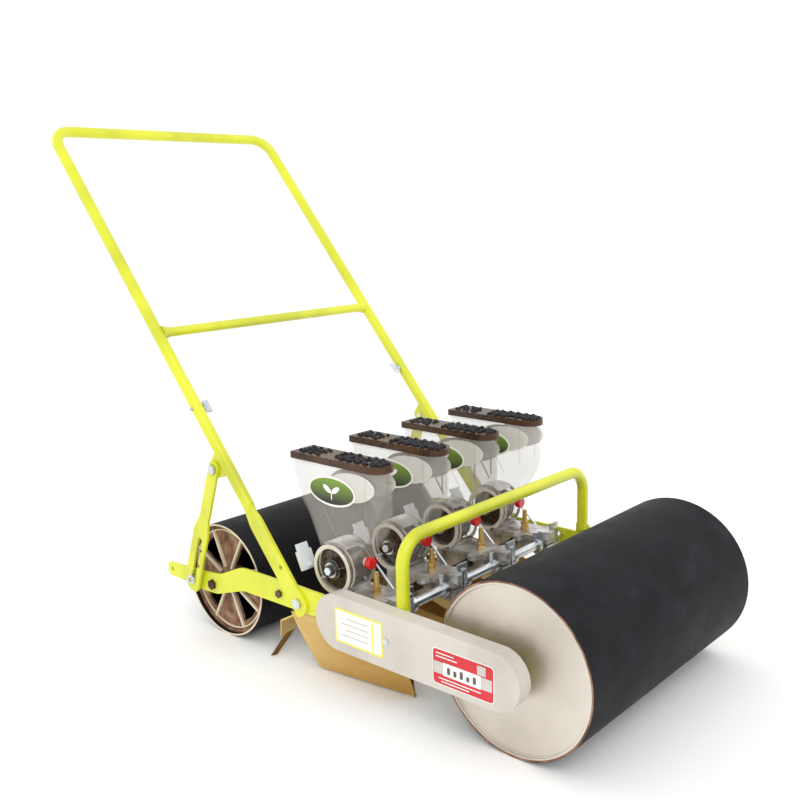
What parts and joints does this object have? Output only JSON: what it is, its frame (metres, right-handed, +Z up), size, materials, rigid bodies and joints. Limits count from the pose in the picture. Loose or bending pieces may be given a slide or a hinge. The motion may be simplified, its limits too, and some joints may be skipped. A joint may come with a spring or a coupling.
{
  "type": "push seeder",
  "caption": "Walk-behind row seeder: driving front roller, chain case, clear hoppers on a toolbar, furrow openers, rear press roller and a tilting push bar.",
  "frame": {"origin": "on the ground, centre of the bounding box", "axes": "+Z up, -Y the way the machine is pushed, +X the side away from the chain case"},
  "size_m": [0.562, 1.1646, 0.9017],
  "materials": {
    "frame_paint": "glossy yellow-green paint",
    "case_paint": "silver grey paint",
    "zinc_steel": "bright zinc plate",
    "dark_steel": "oiled dark steel",
    "drum_steel": "pale galvanised sheet",
    "roller_rubber": "black, slightly worn",
    "rusty_iron": "brown rust on a cast web",
    "cast_alloy": "die-cast, satin",
    "gold_zinc": "yellow chromate zinc plate",
    "clear_plastic": "clear moulded plastic",
    "smoke_plastic": "smoky dark plastic",
    "red_plastic": "glossy red",
    "cream_plastic": "cream",
    "white_plastic": "white",
    "brown_plastic": "dark brown"
  },
  "bodies": {
    "frame": {"adjusting_studs": "gold_zinc", "arm_bolts": "dark_steel", "brush_clips": "white_plastic", "cap_collars": "cream_plastic", "chain_case_back": "case_paint", "chain_case_cover": "case_paint", "clamp_jaws": "cast_alloy", "clamp_wing_bolts": "zinc_steel", "drive_chain": "dark_steel", "front_guard": "frame_paint", "hopper_1": "clear_plastic", "hopper_2": "clear_plastic", "hopper_3": "clear_plastic", "hopper_4": "clear_plastic", "metering_cases": "clear_plastic", "plated_bolts": "zinc_steel", "rear_arm_left": "frame_paint", "rear_arm_right": "frame_paint", "rear_axle": "dark_steel", "red_caps": "red_plastic", "shaft_bushes": "zinc_steel", "side_plate_left": "frame_paint", "side_plate_right": "frame_paint", "toolbar": "zinc_steel", "toolbar_collars": "zinc_steel", "unit_bodies": "cast_alloy", "unit_drive_chains": "zinc_steel"},
    "front_roller": {"front_drum": "drum_steel", "front_sleeve": "roller_rubber", "front_axle": "dark_steel", "front_sprocket": "dark_steel"},
    "drive_shaft": {"hex_shaft": "dark_steel", "shaft_sprocket": "dark_steel", "unit_drive_wheels": "zinc_steel"},
    "rear_roller": {"rear_drum": "roller_rubber", "rear_wheel_right": "rusty_iron", "rear_wheel_left": "rusty_iron"},
    "handle": {"handle_bow": "frame_paint", "handle_leg_right": "frame_paint", "handle_leg_left": "frame_paint", "handle_crossbar": "frame_paint", "handle_bolts": "zinc_steel"},
    "brace_right": {"brace_right": "frame_paint"},
    "brace_left": {"brace_left": "frame_paint"},
    "seed_roller_1": {"seed_roller_1": "brown_plastic"},
    "lid_1": {"lid_1": "smoke_plastic"},
    "opener_1": {"opener_1": "gold_zinc"},
    "coverer_1": {"coverer_1": "gold_zinc"},
    "seed_roller_2": {"seed_roller_2": "brown_plastic"},
    "lid_2": {"lid_2": "smoke_plastic"},
    "opener_2": {"opener_2": "gold_zinc"},
    "coverer_2": {"coverer_2": "gold_zinc"},
    "seed_roller_3": {"seed_roller_3": "brown_plastic"},
    "lid_3": {"lid_3": "smoke_plastic"},
    "opener_3": {"opener_3": "gold_zinc"},
    "coverer_3": {"coverer_3": "gold_zinc"},
    "seed_roller_4": {"seed_roller_4": "brown_plastic"},
    "lid_4": {"lid_4": "smoke_plastic"},
    "opener_4": {"opener_4": "gold_zinc"},
    "coverer_4": {"coverer_4": "gold_zinc"}
  },
  "joints": [
    {"name": "front_roller_spin", "type": "hinge", "parent": "frame", "child": "front_roller", "pos_m": [0, -0.45853, 0.125], "axis": [1, 0, 0], "continuous": true},
    {"name": "drive_shaft_spin", "type": "hinge", "parent": "frame", "child": "drive_shaft", "pos_m": [0, -0.16642, 0.128], "axis": [1, 0, 0], "continuous": true},
    {"name": "rear_roller_spin", "type": "hinge", "parent": "frame", "child": "rear_roller", "pos_m": [0, 0.16148, 0.1008], "axis": [1, 0, 0], "continuous": true},
    {"name": "seed_roller_1_spin", "type": "hinge", "parent": "frame", "child": "seed_roller_1", "pos_m": [0, -0.10752, 0.182], "axis": [1, 0, 0], "continuous": true},
    {"name": "seed_roller_2_spin", "type": "hinge", "parent": "frame", "child": "seed_roller_2", "pos_m": [0, -0.10752, 0.182], "axis": [1, 0, 0], "continuous": true},
    {"name": "seed_roller_3_spin", "type": "hinge", "parent": "frame", "child": "seed_roller_3", "pos_m": [0, -0.10752, 0.182], "axis": [1, 0, 0], "continuous": true},
    {"name": "seed_roller_4_spin", "type": "hinge", "parent": "frame", "child": "seed_roller_4", "pos_m": [0, -0.10752, 0.182], "axis": [1, 0, 0], "continuous": true},
    {"name": "handle_tilt", "type": "hinge", "parent": "frame", "child": "handle", "pos_m": [0, -0.06482, 0.1265], "axis": [-1, 0, 0], "range_deg": [0, 18]},
    {"name": "brace_right_swing", "type": "hinge", "parent": "handle", "child": "brace_right", "pos_m": [0, 0.12695, 0.31542], "axis": [-1, 0, 0], "range_deg": [-9, 0]},
    {"name": "brace_left_swing", "type": "hinge", "parent": "handle", "child": "brace_left", "pos_m": [0, 0.12695, 0.31542], "axis": [-1, 0, 0], "range_deg": [-9, 0]},
    {"name": "lid_1_lift", "type": "slide", "parent": "frame", "child": "lid_1", "axis": [0, 0, 1], "range_m": [0, 0.06]},
    {"name": "opener_1_depth", "type": "slide", "parent": "frame", "child": "opener_1", "axis": [0, 0, 1], "range_m": [0, 0.018]},
    {"name": "coverer_1_swing", "type": "hinge", "parent": "opener_1", "child": "coverer_1", "pos_m": [0, -0.02852, 0.075], "axis": [1, 0, 0], "range_deg": [0, 20]},
    {"name": "lid_2_lift", "type": "slide", "parent": "frame", "child": "lid_2", "axis": [0, 0, 1], "range_m": [0, 0.06]},
    {"name": "opener_2_depth", "type": "slide", "parent": "frame", "child": "opener_2", "axis": [0, 0, 1], "range_m": [0, 0.018]},
    {"name": "coverer_2_swing", "type": "hinge", "parent": "opener_2", "child": "coverer_2", "pos_m": [0, -0.02852, 0.075], "axis": [1, 0, 0], "range_deg": [0, 20]},
    {"name": "lid_3_lift", "type": "slide", "parent": "frame", "child": "lid_3", "axis": [0, 0, 1], "range_m": [0, 0.06]},
    {"name": "opener_3_depth", "type": "slide", "parent": "frame", "child": "opener_3", "axis": [0, 0, 1], "range_m": [0, 0.018]},
    {"name": "coverer_3_swing", "type": "hinge", "parent": "opener_3", "child": "coverer_3", "pos_m": [0, -0.02852, 0.075], "axis": [1, 0, 0], "range_deg": [0, 20]},
    {"name": "lid_4_lift", "type": "slide", "parent": "frame", "child": "lid_4", "axis": [0, 0, 1], "range_m": [0, 0.06]},
    {"name": "opener_4_depth", "type": "slide", "parent": "frame", "child": "opener_4", "axis": [0, 0, 1], "range_m": [0, 0.018]},
    {"name": "coverer_4_swing", "type": "hinge", "parent": "opener_4", "child": "coverer_4", "pos_m": [0, -0.02852, 0.075], "axis": [1, 0, 0], "range_deg": [0, 20]}
  ],
  "couplings": [
    {"joint": "drive_shaft_spin", "follows": "front_roller_spin", "ratio": 1},
    {"joint": "seed_roller_1_spin", "follows": "front_roller_spin", "ratio": 1},
    {"joint": "seed_roller_2_spin", "follows": "front_roller_spin", "ratio": 1},
    {"joint": "seed_roller_3_spin", "follows": "front_roller_spin", "ratio": 1},
    {"joint": "seed_roller_4_spin", "follows": "front_roller_spin", "ratio": 1},
    {"joint": "brace_right_swing", "follows": "handle_tilt", "ratio": -0.5},
    {"joint": "brace_left_swing", "follows": "handle_tilt", "ratio": -0.5}
  ]
}
